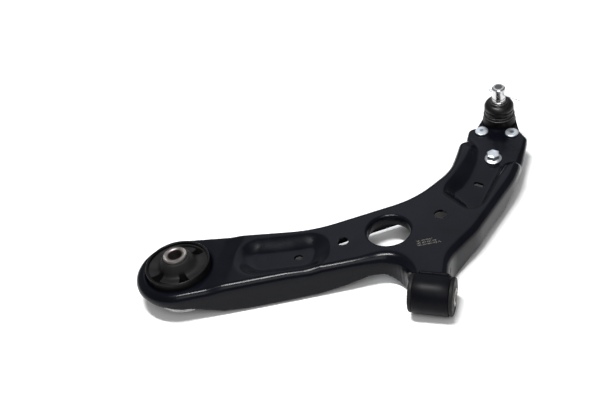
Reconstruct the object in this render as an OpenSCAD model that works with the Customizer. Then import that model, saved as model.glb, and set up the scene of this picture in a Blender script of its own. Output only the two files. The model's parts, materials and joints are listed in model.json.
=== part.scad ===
// Front lower control arm: one steel pressing with a lengthwise front bush, an upright rear
// bush and a riveted ball joint. Millimetres. The origin is the centre of the front bush's
// bore, +X runs forward along the arm's pivot line, +Y runs outboard and +Z is up.

/* [Pressing] */
// Thickness of the sheet
sheet = 3; // [2.5:0.1:4]
// Height of the plate's upper face above the origin
plate_z = 17; // [16:0.5:19]
// Outer radius of the bend between the plate and its flange
edge_r = 9; // [7:0.5:9]
// Depth of the flange below the plate at its deepest
flange_depth = 36; // [32:1:38]
// Radius of the rounded end about the rear bush
end_r = 51; // [49:1:53]
// Depth of the long pocket beside the rear bush
pocket_depth = 6.5; // [5:0.5:8]

/* [Lightening hole] */
// Radius of the large hole
big_hole_r = 24.5; // [22:0.5:25]
// Depth of its turned-down wall
big_hole_wall = 13; // [8:1:16]

/* [Front bush] */
// Outer radius of the welded tube
tube_r = 21.9; // [21.4:0.1:22.5]
// Length of the welded tube
tube_len = 38.4; // [36:0.2:40]
// Wall of the welded tube
tube_wall = 3; // [2.6:0.1:3.2]
// Angle that the tube's axis dips towards the front
front_dip = 2.5; // [0:0.5:4]
// Radius of the bore for the M12 pivot bolt
front_bore_r = 6.15; // [6.05:0.05:6.3]
// Length of the front inner sleeve
front_sleeve_len = 50; // [48.4:0.2:54]

/* [Rear bush] */
// Distance from the front bush to the rear bush
bush_gap = 288; // [284:1:292]
// Outer radius of the rear bush
rear_r = 37; // [36:0.5:38]
// Height of the rear bush's rim above the plate
rim_height = 6; // [4:0.5:7]
// Height of the rear outer sleeve
rear_sleeve_h = 33; // [30:1:36]
// Radius of the bore for the M16 upright bolt
rear_bore_r = 8.15; // [8.1:0.05:8.3]
// Length of the rear inner sleeve
rear_core_len = 58; // [54:1:60]

/* [Ball joint] */
// Forward place of the ball joint's axis
ball_x = 35.5; // [34:0.5:37]
// Outboard place of the ball joint's axis
ball_y = 298; // [296:1:300]
// Inboard tilt of the pad and the ball joint
pad_tilt = 5; // [4:0.5:6]
// Forward lean of the pad and the ball joint
pad_lean = 2; // [1:0.5:3]
// Radius of the ball
ball_r = 13.5; // [13:0.1:13.8]
// Radius of the stud
stud_r = 8; // [7.6:0.1:8.2]
// Height of the stud's top above the pad
stud_top = 50.5; // [48:0.5:52]
// Outer radius of the forged housing
housing_r = 20.4; // [20:0.1:21]

/* [Hidden] */
$fn = 64;

// Colours of the finishes
e_coat = [0.10, 0.11, 0.15];
rubber = [0.07, 0.07, 0.075];
steel = [0.62, 0.62, 0.64];
zinc = [0.82, 0.84, 0.86];

// Heights that follow from the plate
flange_z = plate_z - flange_depth;
rim_z = plate_z + rim_height;
rear_low_z = rim_z - rear_sleeve_h;
rear_mid_z = rim_z - rear_sleeve_h / 2;

// The pad's upper face passes through this point, under the stud
pad_z = 16.6;
ball_drop = 6;

// Corners of the pressing's outline as [x, y, radius], anticlockwise from the rear bush
end_x = -bush_gap - end_r;
front_slope = 21.4;
rear_slope = 10.8;
front_end_y = -end_r * tan(45 + front_slope / 2);
rear_end_y = end_r * tan(45 - rear_slope / 2);
neck_w = 37;
outline = [
    [end_x, front_end_y, end_r],
    [-31, front_end_y + (-31 - end_x) * tan(front_slope), 32],
    [-neck_w / 2, -22, 12],
    [neck_w / 2, -22, 12],
    [13, 46, 45],
    [37, 93, 110],
    [70, 195, 160],
    [73.5, 284, 20],
    [-1, 284, 20],
    [-12, 194, 70],
    [-45, 141, 110],
    [-150, 78, 150],
    [end_x, rear_end_y, end_r]];

// Long pocket: top and floor outlines about its own middle
pocket_x = -173;
pocket_y = 33;
pocket_turn = 14;
pocket_top = [[-51, -27, 24], [51, -27, 22], [51, 27, 22], [-51, 27, 24]];
pocket_floor = [[-35, -20, 14], [33, -20, 13], [33, 10.5, 13], [-35, 10.5, 14]];

// Tray that leads to the pad: top outline in plan, floor outline on the pad's plane
tray_top = [[-8, 150, 8], [24, 120, 14], [38, 137, 14], [50, 190, 60], [58, 262, 20],
    [10, 262, 10], [8, 238, 20]];
tray_floor = [[2, 160, 6], [26, 135, 10], [33, 142, 8], [42, 190, 60], [56, 262, 20],
    [20, 262, 10], [22, 222, 30]];
pad_outline = [[73, 236, 10], [73, 267, 6], [58, 286, 6], [14, 286, 6], [-1, 276, 5],
    [-3, 250, 8], [6, 236, 6]];

// Height of the tray's floor above the pad's plane
tray_lift = 0.2;
// Depth of the lip below the pad
pad_lip = 4.5;

// Places of the fasteners on the pad, from the stud's axis, and their shanks
rivet_x = 18.2;
rivet_y = -26.5;
rivet_r = 5;
bolt_x = 1.5;
bolt_y = -74;
bolt_r = 5;
bolt_play = 0.4;
// Thickness of the housing's flange, and its gap to the pad's edge
flange_t = 8;
housing_gap = 0.4;

// Holes through the plate as [x, y, radius], and the slot in the tray
big_hole = [-61.5, 79.5];
small_holes = [[-8, 111, 7.5], [-109, 57, 6.5], [-155.4, 32.3, 5]];
slot_at = [25, 179];
slot_r = 3;
slot_turn = -18;

// Long enough to cut through anything
cut = 60;

// Unit vector from p towards q
function toward(p, q) = (q - p) / norm(q - p);

// Points of one rounded corner, each with the outward normal there: [x, y, nx, ny]
function corner(p, c, q, r, n) =
    let (u = toward(c, p), v = toward(c, q), half = acos(u * v) / 2,
        turn = sign(u[1] * v[0] - u[0] * v[1]),
        mid = c + (u + v) / norm(u + v) * r / sin(half),
        start = c + u * r / tan(half) - mid,
        from = atan2(start[1], start[0]),
        sweep = turn * (180 - 2 * half))
    [for (i = [0:n])
        let (a = from + sweep * i / n, d = [cos(a), sin(a)])
        [mid[0] + r * d[0], mid[1] + r * d[1], turn * d[0], turn * d[1]]];

// A closed outline with rounded corners; stretches longer than step get points between
function rounded(list, n, step) =
    let (m = len(list), xy = [for (c = list) [c[0], c[1]]],
        arcs = [for (i = [0:m - 1])
            corner(xy[(i + m - 1) % m], xy[i], xy[(i + 1) % m], list[i][2], n)])
    [for (i = [0:m - 1])
        let (end = arcs[i][n], next = arcs[(i + 1) % m][0],
            gap = norm([next[0] - end[0], next[1] - end[1]]),
            k = max(1, round(gap / step)))
        each concat([for (j = [0:n]) if (j < n || gap > 0.1) arcs[i][j]],
            [for (j = [1:1:k - 1]) end + (next - end) * j / k])];

function flat(points) = [for (p = points) [p[0], p[1]]];
function ramp(x, x0, x1, z0, z1) =
    let (t = min(1, max(0, (x - x0) / (x1 - x0)))) z0 + (z1 - z0) * t * t * (3 - 2 * t);

// Lower edge of the flange: shallow about the rear bush and at the pad, deep between
function edge_low(x, y) =
    let (bush = ramp(x, -300, -205, 2, flange_z),
        arch = ramp(abs(x + 70), 0, 62, -5, flange_z),
        pad = ramp(y, 150, 205, flange_z + 8, 4))
    y > 120 ? max(pad, flange_z + 8) : y > 48 && x > -40 ? flange_z + 8
        : x > -20 ? flange_z + 6 : max(bush, arch);

// Ring of the shell: moved in by d, at height z
function ring(points, d, z) = [for (p = points) [p[0] - p[2] * d, p[1] - p[3] * d, z]];
function low_ring(points, d) =
    [for (p = points) [p[0] - p[2] * d, p[1] - p[3] * d, edge_low(p[0], p[1])]];
function strip(n, a, b) =
    [for (i = [0:n - 1]) let (j = (i + 1) % n)
        each [[a * n + i, b * n + j, b * n + i], [a * n + i, a * n + j, b * n + j]]];

// Turned-down edge of the sheet: flange, bend and a lip of the flat plate
module turned_edge() {
    points = rounded(outline, 5, 28);
    bend_z = plate_z - edge_r;
    in_r = edge_r - sheet;
    steps = 3;
    outer = [for (k = [0:steps]) let (a = 90 * k / steps)
        ring(points, edge_r - edge_r * cos(a), bend_z + edge_r * sin(a))];
    inner = [for (k = [steps:-1:0]) let (a = 90 * k / steps)
        ring(points, edge_r - in_r * cos(a), bend_z + in_r * sin(a))];
    lip = [ring(points, edge_r + 2, plate_z), ring(points, edge_r + 2, plate_z - sheet)];
    rings = concat([low_ring(points, 0)], outer, lip, inner, [low_ring(points, sheet)]);
    n = len(points);
    m = len(rings);
    polyhedron(points = [for (r = rings) each r],
        faces = [for (k = [0:m - 1]) each strip(n, (k + 1) % m, k)], convexity = 8);
}

// The flat of the plate, let into the lip
module plate() {
    seam = 0.02;
    translate([0, 0, plate_z - sheet + seam])
        linear_extrude(sheet - 2 * seam)
            polygon(flat(ring(rounded(outline, 5, 28), edge_r + 1, 0)));
}

// Frame of the pad: its upper face is z = 0 and the stud stands on its Z axis
module on_pad() {
    translate([ball_x, ball_y, pad_z]) rotate([pad_tilt, pad_lean, 0]) children();
}

// Frame of the front tube: its axis is Z
module on_tube() {
    rotate([0, 90 + front_dip, 0]) children();
}

module on_rear() {
    translate([-bush_gap, 0, 0]) children();
}

module tube(r_out, r_in, h) {
    difference() {
        cylinder(r = r_out, h = h);
        translate([0, 0, -1]) cylinder(r = r_in, h = h + 2);
    }
}

module on_pocket() {
    translate([pocket_x, pocket_y, 0]) rotate(pocket_turn) children();
}

// Solid between a pocket's top outline and its floor outline, sunk by drop
module pocket_form(drop, lift) {
    hull() {
        translate([0, 0, plate_z - drop / 2 + lift])
            linear_extrude(0.1) polygon(flat(rounded(pocket_top, 4, 99)));
        translate([0, 0, plate_z - pocket_depth - drop])
            linear_extrude(0.1) polygon(flat(rounded(pocket_floor, 4, 99)));
    }
}

// The same for the tray, whose floor lies on the pad's plane
module tray_form(drop, lift) {
    hull() {
        translate([0, 0, plate_z - drop / 2 + lift])
            linear_extrude(0.1) polygon(flat(rounded(tray_top, 4, 99)));
        on_pad() translate([-ball_x, -ball_y, -drop])
            linear_extrude(0.1) polygon(flat(rounded(tray_floor, 4, 99)));
    }
}

// The pad, with a turned-down lip along its two sides
module pad_slab() {
    edge = rounded(pad_outline, 5, 99);
    on_pad() translate([-ball_x, -ball_y, -sheet]) {
        linear_extrude(sheet) polygon(flat(edge));
        translate([0, 0, -pad_lip]) linear_extrude(pad_lip + 0.5) difference() {
            polygon(flat(edge));
            polygon(flat(ring(edge, sheet, 0)));
            translate([ball_x, ball_y]) square([56, 160], center = true);
        }
    }
}

// Everything outboard of the tray, which the pad takes over
module past_tray() {
    translate([-40, 240, -cut]) cube([160, 90, 2 * cut]);
}

// The holes that the pad and the housing's flange share
module fastener_holes() {
    for (x = [-rivet_x, rivet_x])
        translate([x, rivet_y, -cut]) cylinder(r = rivet_r, h = 2 * cut);
    translate([bolt_x, bolt_y, -cut]) cylinder(r = bolt_r + bolt_play, h = 2 * cut);
}

// Shell, pockets and pad as one sheet, then pierced
module arm_pressing() {
    color(e_coat) difference() {
        union() {
            difference() {
                union() {
                    turned_edge();
                    plate();
                }
                past_tray();
            }
            on_pocket() pocket_form(sheet, 0);
            difference() {
                tray_form(sheet, 0);
                past_tray();
            }
            pad_slab();
            on_rear() translate([0, 0, rear_low_z + 6])
                cylinder(r = rear_r + sheet, h = plate_z - rear_low_z - 7);
            translate([big_hole[0], big_hole[1], plate_z - big_hole_wall])
                cylinder(r = big_hole_r + sheet, h = big_hole_wall - 1);
        }
        on_pocket() pocket_form(0, 1);
        tray_form(-tray_lift, 1);
        on_rear() translate([0, 0, -cut]) cylinder(r = rear_r, h = 2 * cut, $fn = 96);
        translate([big_hole[0], big_hole[1], -cut])
            cylinder(r = big_hole_r, h = 2 * cut, $fn = 96);
        for (hole = small_holes)
            translate([hole[0], hole[1], -cut]) cylinder(r = hole[2], h = 2 * cut);
        on_pad() {
            translate([slot_at[0] - ball_x, slot_at[1] - ball_y, 0]) rotate(slot_turn) {
                for (x = [-slot_r, slot_r])
                    translate([x, 0, -cut]) cylinder(r = slot_r, h = 2 * cut);
                cube([2 * slot_r, 2 * slot_r, 2 * cut], center = true);
            }
            translate([0, 0, -cut]) cylinder(r = housing_r + housing_gap, h = 2 * cut);
            fastener_holes();
        }
        on_tube() cylinder(r = tube_r, h = 90, center = true, $fn = 96);
        translate([-40, -60, -cut]) cube([80, 62, 2 * cut]);
    }
}

module front_bush_tube() {
    color(e_coat) on_tube() translate([0, 0, -tube_len / 2])
        tube(tube_r, tube_r - tube_wall, tube_len);
}

// Fillet welds in the corners between the tube and the plate's two faces
module tube_weld_beads() {
    bead_r = 2.2;
    bead_len = 31;
    bead_out = 0.6;
    color(e_coat) on_tube() difference() {
        for (z = [plate_z + bead_out, plate_z - sheet - bead_out])
            rotate(180 - acos(z / tube_r)) translate([tube_r, 0, -bead_len / 2])
                cylinder(r = bead_r, h = bead_len);
        cylinder(r = tube_r, h = 90, center = true, $fn = 96);
    }
}

module front_bush_outer_sleeve() {
    r = tube_r - tube_wall;
    color(steel) on_tube() translate([0, 0, -tube_len / 2]) tube(r, r - 1.5, tube_len);
}

// Rubber between the sleeves, with a collar over each end of the tube
module front_bush_rubber() {
    r = tube_r - tube_wall - 1.5;
    half = tube_len / 2;
    collar_r = 20.3;
    collar = 4.6;
    side = [[10, half + collar], [collar_r - 1.8, half + collar],
        [collar_r, half + collar - 1.8], [collar_r, half], [r, half]];
    color(rubber) on_tube() rotate_extrude($fn = 96)
        polygon(concat(side, [for (i = [4:-1:0]) [side[i][0], -side[i][1]]]));
}

module front_bush_inner_sleeve() {
    color(steel) on_tube() translate([0, 0, -front_sleeve_len / 2])
        tube(10, front_bore_r, front_sleeve_len);
}

module rear_bush_outer_sleeve() {
    color(e_coat) on_rear() translate([0, 0, rear_low_z]) difference() {
        cylinder(r = rear_r, h = rear_sleeve_h, $fn = 96);
        translate([0, 0, -1]) cylinder(r = rear_r - 2.5, h = rear_sleeve_h + 2, $fn = 96);
        translate([0, 0, rear_sleeve_h - 1]) cylinder(r1 = rear_r - 2.5, r2 = rear_r - 1, h = 1.01);
    }
}

// Rubber with two legs along X and a bump stop in each void
module rear_bush_rubber() {
    r = rear_r - 2.5;
    color(rubber) on_rear() difference() {
        rotate_extrude($fn = 96) polygon([
            [13.5, rear_mid_z - 24], [18, rear_mid_z - 24], [22, rear_low_z + 3],
            [r, rear_low_z + 3], [r, rim_z - 3.5], [26, rim_z - 4], [20, rim_z + 1],
            [17, rim_z + 8], [13.5, rim_z + 8.5]]);
        for (side = [0, 180]) rotate(side) {
            translate([0, 0, -cut]) rotate(45) rotate_extrude(angle = 90, $fn = 96)
                translate([30.5, 0]) square([r - 30.5 + 0.02, 2 * cut]);
            for (x = [-1, 1]) translate([x * 18, 22, -cut]) cylinder(r = 5.5, h = 2 * cut);
        }
    }
}

module rear_bush_inner_sleeve() {
    color(steel) on_rear() translate([0, 0, rear_mid_z - rear_core_len / 2])
        tube(13.5, rear_bore_r, rear_core_len);
}

// Forged housing with its three-hole flange under the pad
module ball_joint_housing() {
    bore = ball_r + 2.3;
    color(e_coat) on_pad() difference() {
        union() {
            translate([0, 0, -26]) cylinder(r = housing_r - 0.6, h = 26);
            cylinder(r1 = housing_r, r2 = housing_r - 1.6, h = 8.5);
            translate([0, 0, -sheet - flange_t]) linear_extrude(flange_t) hull() {
                circle(r = housing_r);
                for (x = [-rivet_x, rivet_x]) translate([x, rivet_y]) circle(r = 10);
                translate([bolt_x, bolt_y]) circle(r = 11);
            }
        }
        translate([0, 0, -24]) cylinder(r = bore, h = 27);
        translate([0, 0, -27]) cylinder(r = bore + 1.5, h = 5);
        translate([0, 0, 2.9]) cylinder(r1 = 12.4, r2 = 14.5, h = 6);
        fastener_holes();
    }
}

// Plastic cup that holds the ball
module ball_seat() {
    color([0.85, 0.83, 0.76]) on_pad() difference() {
        translate([0, 0, -21.9]) cylinder(r = ball_r + 2.3, h = 24.8);
        translate([0, 0, -ball_drop]) sphere(r = ball_r + 0.05, $fn = 96);
        translate([0, 0, -ball_drop]) cylinder(r = 11.6, h = 20);
    }
}

// Pressed plate that closes the housing from below
module housing_cap() {
    color(e_coat) on_pad() translate([0, 0, -25.5]) cylinder(r = ball_r + 3.8, h = 3.5);
}

module ball_stud() {
    neck = 7;
    waist_r = stud_r - 1;
    waist_low = 34.7;
    waist_high = 45.5;
    color(steel) on_pad() difference() {
        union() {
            translate([0, 0, -ball_drop]) sphere(r = ball_r, $fn = 96);
            rotate_extrude() polygon([[0, 0], [8.5, 0], [neck, 8], [neck, 18],
                [stud_r + 1.2, 24], [stud_r + 1.2, 26], [stud_r, 27.5], [stud_r, waist_low],
                [waist_r, waist_low + 1.5], [waist_r, waist_high - 1.5], [stud_r, waist_high],
                [stud_r, stud_top - 1.6], [stud_r - 1.6, stud_top], [0, stud_top]]);
        }
        translate([0, 0, 41]) rotate([0, 90, -25]) cylinder(r = 1.1, h = 40, center = true);
    }
}

// Split pin through the stud, with its eye behind
module split_pin() {
    color(zinc) on_pad() translate([0, 0, 41]) rotate([0, 90, -25]) {
        translate([0, 0, -stud_r - 2]) cylinder(r = 1, h = 2 * stud_r + 24);
        translate([0, 0, -stud_r - 3.5]) rotate([90, 0, 0]) rotate_extrude()
            translate([2, 0]) circle(r = 0.8, $fn = 16);
    }
}

// Bellows from the housing's lip to the stud
module dust_boot() {
    outer = [[14.6, 8.6], [17.6, 8.6], [17.9, 10.4], [16.4, 11.6], [16.4, 13.2], [17.8, 15],
        [18, 19], [16.8, 23.5], [13.5, 27.5], [11, 28.2], [9.4, 26.4]];
    inner = [[9.4, 25], [12.5, 26], [14.8, 22.5], [15.8, 18.8], [15.4, 15.6], [14.6, 12.4]];
    color(rubber) on_pad() rotate_extrude($fn = 96) polygon(concat(outer, inner));
}

// Wire rings that clamp the boot to the housing
module boot_lower_ring() {
    color(steel) on_pad() for (z = [12.4, 9.5]) rotate_extrude($fn = 96)
        translate([z > 10 ? 17.1 : 18.5, z]) circle(r = 0.6, $fn = 16);
}

module boot_upper_ring() {
    color(steel) on_pad() rotate_extrude() translate([10.2, 29]) circle(r = 0.7, $fn = 16);
}

// Two rivets that join the pad and the housing's flange
module ball_joint_rivets() {
    grip = sheet + flange_t;
    color(zinc) on_pad() for (x = [-rivet_x, rivet_x]) translate([x, rivet_y, 0]) {
        translate([0, 0, -grip]) cylinder(r = rivet_r, h = grip);
        cylinder(r = 8, h = 2.2);
        translate([0, 0, 2.2]) cylinder(r1 = 8, r2 = 6, h = 1.8);
        translate([0, 0, -grip - 4]) cylinder(r1 = 6, r2 = 8, h = 4);
    }
}

module flange_bolt() {
    color(zinc) on_pad() translate([bolt_x, bolt_y, tray_lift]) {
        cylinder(r = 10, h = 1.6);
        translate([0, 0, 1.6]) cylinder(r1 = 9.6, r2 = 8.2, h = 1.2);
        translate([0, 0, 2.8]) cylinder(r = 8.1, h = 6.4, $fn = 6);
        translate([0, 0, -28]) cylinder(r = bolt_r, h = 28);
    }
}

module flange_nut() {
    color(zinc) on_pad() translate([bolt_x, bolt_y, -sheet - flange_t]) difference() {
        union() {
            translate([0, 0, -2]) cylinder(r = 10, h = 2);
            translate([0, 0, -10]) cylinder(r = 8.6, h = 8, $fn = 6);
        }
        translate([0, 0, -11]) cylinder(r = bolt_r, h = 12);
    }
}

arm_pressing();
front_bush_tube();
tube_weld_beads();
front_bush_outer_sleeve();
front_bush_rubber();
front_bush_inner_sleeve();
rear_bush_outer_sleeve();
rear_bush_rubber();
rear_bush_inner_sleeve();
ball_joint_housing();
ball_seat();
housing_cap();
ball_stud();
split_pin();
dust_boot();
boot_lower_ring();
boot_upper_ring();
ball_joint_rivets();
flange_bolt();
flange_nut();
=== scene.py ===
# %% [markdown]
# # A pressed-steel control arm
#
# This lesson dresses a finished CAD model of a car's lower control arm. The CAD nodes give every
# size and every pivot. Blender gives the looks: the soft bends of the pressing, the rubber, the
# plated steel and the glossy black coat. Each step says what the real piece is, how it could be
# made, and why one way was chosen.

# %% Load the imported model
import json
from math import atan2, ceil, cos, degrees, hypot, pi, radians, sin, tan

import bmesh
import bpy
import numpy as np
from mathutils import Matrix, Vector


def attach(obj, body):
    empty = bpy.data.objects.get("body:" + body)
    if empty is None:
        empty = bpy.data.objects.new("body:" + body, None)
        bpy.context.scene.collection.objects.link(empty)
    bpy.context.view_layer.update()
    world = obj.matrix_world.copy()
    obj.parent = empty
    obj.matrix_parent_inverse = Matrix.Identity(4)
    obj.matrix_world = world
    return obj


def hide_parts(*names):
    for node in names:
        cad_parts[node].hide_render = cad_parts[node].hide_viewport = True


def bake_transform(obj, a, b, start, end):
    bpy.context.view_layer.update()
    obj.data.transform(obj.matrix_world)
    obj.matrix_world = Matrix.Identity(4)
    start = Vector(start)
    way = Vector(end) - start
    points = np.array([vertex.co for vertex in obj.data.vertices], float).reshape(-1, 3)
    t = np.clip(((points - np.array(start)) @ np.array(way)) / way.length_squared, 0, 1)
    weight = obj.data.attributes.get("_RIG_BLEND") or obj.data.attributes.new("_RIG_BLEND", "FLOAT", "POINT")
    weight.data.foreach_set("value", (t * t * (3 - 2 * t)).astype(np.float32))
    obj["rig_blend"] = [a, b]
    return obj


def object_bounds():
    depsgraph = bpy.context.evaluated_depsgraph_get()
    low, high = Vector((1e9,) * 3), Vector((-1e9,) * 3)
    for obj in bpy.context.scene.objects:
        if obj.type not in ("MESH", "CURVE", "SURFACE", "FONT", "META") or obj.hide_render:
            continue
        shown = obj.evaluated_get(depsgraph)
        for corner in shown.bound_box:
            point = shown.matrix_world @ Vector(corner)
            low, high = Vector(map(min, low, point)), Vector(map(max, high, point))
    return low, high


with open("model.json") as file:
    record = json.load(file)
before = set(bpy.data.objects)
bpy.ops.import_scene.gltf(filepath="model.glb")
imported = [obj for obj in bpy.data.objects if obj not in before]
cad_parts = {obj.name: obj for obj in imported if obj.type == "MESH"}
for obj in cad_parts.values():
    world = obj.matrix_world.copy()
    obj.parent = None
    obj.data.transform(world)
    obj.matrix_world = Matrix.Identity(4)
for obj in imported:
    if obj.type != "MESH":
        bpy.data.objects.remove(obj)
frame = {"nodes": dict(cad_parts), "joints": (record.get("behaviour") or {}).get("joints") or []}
cad_low, cad_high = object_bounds()
nodes = frame["nodes"]
joints = {j["name"]: j for j in frame["joints"]}
print("CAD box in mm:", [round(1000 * (b - a), 1) for a, b in zip(cad_low, cad_high)])

# %% [markdown]
# ## Camera
#
# The camera stands in front of the arm, to its right, and looks down on it. It is rolled a
# little, so the arm seems to climb to the right. The place and the aim are three angles and a
# distance, which are easier to change by hand than a matrix.

# %% Aim the camera
MM = 0.001
view_turn = radians(22.72)
view_rise = radians(38.07)
view_roll = radians(-11.98)
view_far = 1204.2 * MM
view_target = Vector((-175.2, 118.6, 22.1)) * MM
lens_mm = 61.38

look = Vector((-sin(view_turn) * cos(view_rise), cos(view_turn) * cos(view_rise),
               -sin(view_rise)))
level = Vector((cos(view_turn), sin(view_turn), 0))
above = level.cross(look)
right = level * cos(view_roll) + above * sin(view_roll)
up = above * cos(view_roll) - level * sin(view_roll)

camera = bpy.data.objects.new("camera", bpy.data.cameras.new("camera"))
bpy.context.scene.collection.objects.link(camera)
camera.data.lens = lens_mm
camera.data.clip_start = 0.05
camera.matrix_world = (Matrix.Translation(view_target - look * view_far)
                       @ Matrix((right, up, -look)).transposed().to_4x4())
bpy.context.scene.camera = camera
print("camera:", round(view_far / MM), "mm from its aim, lens", lens_mm, "mm")

# %% [markdown]
# ## Small helpers
#
# `extend` is the workhorse: it extrudes the selected edges and puts each new point where a
# rule says. `turned` uses it to make a piece as on a lathe: a circle is extruded along a
# profile of (radius, height) points.

# %% Helpers
def clear_selection():
    if bpy.context.object and bpy.context.object.mode != "OBJECT":
        bpy.ops.object.mode_set(mode="OBJECT")
    bpy.ops.object.select_all(action="DESELECT")


def edit(obj):
    clear_selection()
    bpy.context.view_layer.objects.active = obj
    obj.select_set(True)
    bpy.ops.object.mode_set(mode="EDIT")
    bpy.ops.mesh.select_mode(type="VERT")


def extend(rule):
    """Extrudes the selected edges; rule(vertex) gives each new point's place in metres."""
    bpy.ops.mesh.extrude_edges_move()
    mesh = bpy.context.object.data
    bm = bmesh.from_edit_mesh(mesh)
    for v in bm.verts:
        if v.select:
            v.co = rule(v)
    bmesh.update_edit_mesh(mesh)


def add_modifier(obj, kind, **settings):
    clear_selection()
    bpy.context.view_layer.objects.active = obj
    obj.select_set(True)
    modifier = obj.modifiers.new(kind.lower(), kind)
    for key, value in settings.items():
        setattr(modifier, key, value)
    bpy.ops.object.modifier_apply(modifier=modifier.name)


def place(obj, matrix):
    """Puts the piece in its frame and bakes that into its mesh."""
    clear_selection()
    bpy.context.view_layer.objects.active = obj
    obj.select_set(True)
    obj.matrix_world = matrix @ obj.matrix_world
    bpy.ops.object.transform_apply(location=True, rotation=True, scale=True)
    return obj


axis_r, merge_gap = 0.001, 0.002


def close_up(obj, smooth_deg=35):
    """Merges doubles, turns the faces outwards and shades the piece smooth but for its edges."""
    edit(obj)
    bpy.ops.mesh.select_all(action="SELECT")
    bpy.ops.mesh.remove_doubles(threshold=merge_gap * MM)
    bpy.ops.mesh.normals_make_consistent(inside=False)
    bpy.ops.object.mode_set(mode="OBJECT")
    bpy.ops.object.shade_smooth_by_angle(angle=radians(smooth_deg))
    return obj


def arc(cx, cz, r, start, end, steps=6):
    """Points of a profile's arc, by angle in degrees."""
    angles = [radians(start + (end - start) * k / steps) for k in range(steps + 1)]
    return [(cx + r * cos(a), cz + r * sin(a)) for a in angles]


def turned(name, profile, matrix, sides=96, smooth_deg=35):
    """A turned piece: profile is a closed loop of (radius, height) in mm.

    A point on the axis keeps a tiny radius, so that its direction is not lost; merging closes it.
    """
    clear_selection()
    r0, z0 = profile[0]
    bpy.ops.mesh.primitive_circle_add(vertices=sides, radius=max(r0, axis_r) * MM,
                                      location=(0, 0, z0 * MM))
    obj = bpy.context.object
    obj.name = name
    bpy.ops.object.transform_apply(location=True)
    bpy.ops.object.mode_set(mode="EDIT")
    bpy.ops.mesh.select_mode(type="EDGE")
    bpy.ops.mesh.select_all(action="SELECT")
    for r, z in profile[1:] + [profile[0]]:
        def spot(v, r=max(r, axis_r), z=z):
            flat = Vector((v.co.x, v.co.y, 0)).normalized() * r * MM
            return Vector((flat.x, flat.y, z * MM))
        extend(spot)
    place(obj, matrix)
    return close_up(obj, smooth_deg)


# %% [markdown]
# ## Frames of the pivots
#
# The record's joints say where the pivots are: the ball joint stands on a pad that leans a few
# degrees, the front bush lies nearly along X and the rear bush stands upright. Each gets a matrix
# whose Z runs along its axis, so that turned pieces can be made upright and then put in place.

# %% Frames
def axes_frame(x, y, z, origin):
    m = Matrix((x, y, z)).transposed().to_4x4()
    return Matrix.Translation(origin) @ m


ball_centre = Vector(joints["stud_spin"]["pos_m"])
pad_x = Vector(joints["ball_tilt_side"]["axis"])
pad_y = Vector(joints["ball_tilt_fore"]["axis"])
pad_up = Vector(joints["stud_spin"]["axis"])
ball_drop = 6
pad_origin = ball_centre + pad_up * ball_drop * MM
on_pad = axes_frame(pad_x, pad_y, pad_up, pad_origin)

tube_axis = Vector(joints["front_bush_twist"]["axis"])
tube_y = Vector((0, 1, 0))
on_tube = axes_frame(tube_y, tube_axis.cross(tube_y), tube_axis, Vector((0, 0, 0)))

bush_gap = -joints["rear_bush_cock"]["pos_m"][0] / MM
on_rear = Matrix.Translation((-bush_gap * MM, 0, 0))
print("rear bush at x =", -bush_gap, "mm; ball centre",
      [round(c / MM, 1) for c in ball_centre], "mm")

# %% [markdown]
# ## Outline of the pressing
#
# A pressing starts as a flat blank and its outline is straight runs joined by arcs. The corners
# are given as (x, y, radius), anticlockwise, and `rounded` samples them. The first and the last
# corner are the round end at the rear bush, where the two long sides run off at their own slopes.

# %% Outline
SHEET = 3
plate_z = 17
end_r = 51
end_x = -bush_gap - end_r
front_slope = radians(21.4)
rear_slope = radians(10.8)
front_end_y = -end_r * tan(pi / 4 + front_slope / 2)
rear_end_y = end_r * tan(pi / 4 - rear_slope / 2)
elbow_x = -31
outline_corners = [
    (end_x, front_end_y, end_r),
    (elbow_x, front_end_y + (elbow_x - end_x) * tan(front_slope), 32),
    (-18.5, -22, 12), (18.5, -22, 12), (13, 46, 45), (37, 93, 110), (70, 195, 160),
    (72.6, 266, 7), (57, 286, 8), (16, 284.5, 8), (0.5, 276, 7), (0, 252, 6), (-6.5, 246, 6),
    (-12, 194, 70), (-45, 141, 110), (-150, 78, 150), (end_x, rear_end_y, end_r)]


def rounded(corners, step):
    """Points of a closed outline of (x, y, radius) corners, no further apart than step."""
    points = []
    n = len(corners)
    arcs = []
    for i in range(n):
        p, c, q = (Vector(corners[(i + k) % n][:2]) for k in (-1, 0, 1))
        r = corners[i][2]
        u, v = (p - c).normalized(), (q - c).normalized()
        half = u.angle(v) / 2
        mid = c + (u + v).normalized() * r / sin(half)
        start = c + u * r / tan(half) - mid
        turn = 1 if (c - p).cross(q - c) > 0 else -1
        sweep = turn * (pi - 2 * half)
        steps = max(2, ceil(r * abs(sweep) / step))
        first = atan2(start.y, start.x)
        arcs.append([mid + Vector((cos(a), sin(a))) * r
                     for a in (first + sweep * k / steps for k in range(steps + 1))])
    for i in range(n):
        end, following = arcs[i][-1], arcs[(i + 1) % n][0]
        points += arcs[i] if (following - end).length > 0.1 else arcs[i][:-1]
        runs = max(1, ceil((following - end).length / step))
        points += [end.lerp(following, k / runs) for k in range(1, runs)]
    return np.array([tuple(p) for p in points])


def outward(points):
    """Outward normal at each point of an anticlockwise outline."""
    along = np.roll(points, -1, 0) - np.roll(points, 1, 0)
    along /= np.linalg.norm(along, axis=1)[:, None]
    return np.stack([along[:, 1], -along[:, 0]], 1)


def path_length(points):
    return float(np.linalg.norm(points - np.roll(points, 1, 0), axis=1).sum())


blank_step = 2.2
edge = rounded(outline_corners, blank_step)
edge_out = outward(edge)
print("outline:", len(edge), "points,", round(path_length(edge)), "mm round")

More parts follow.
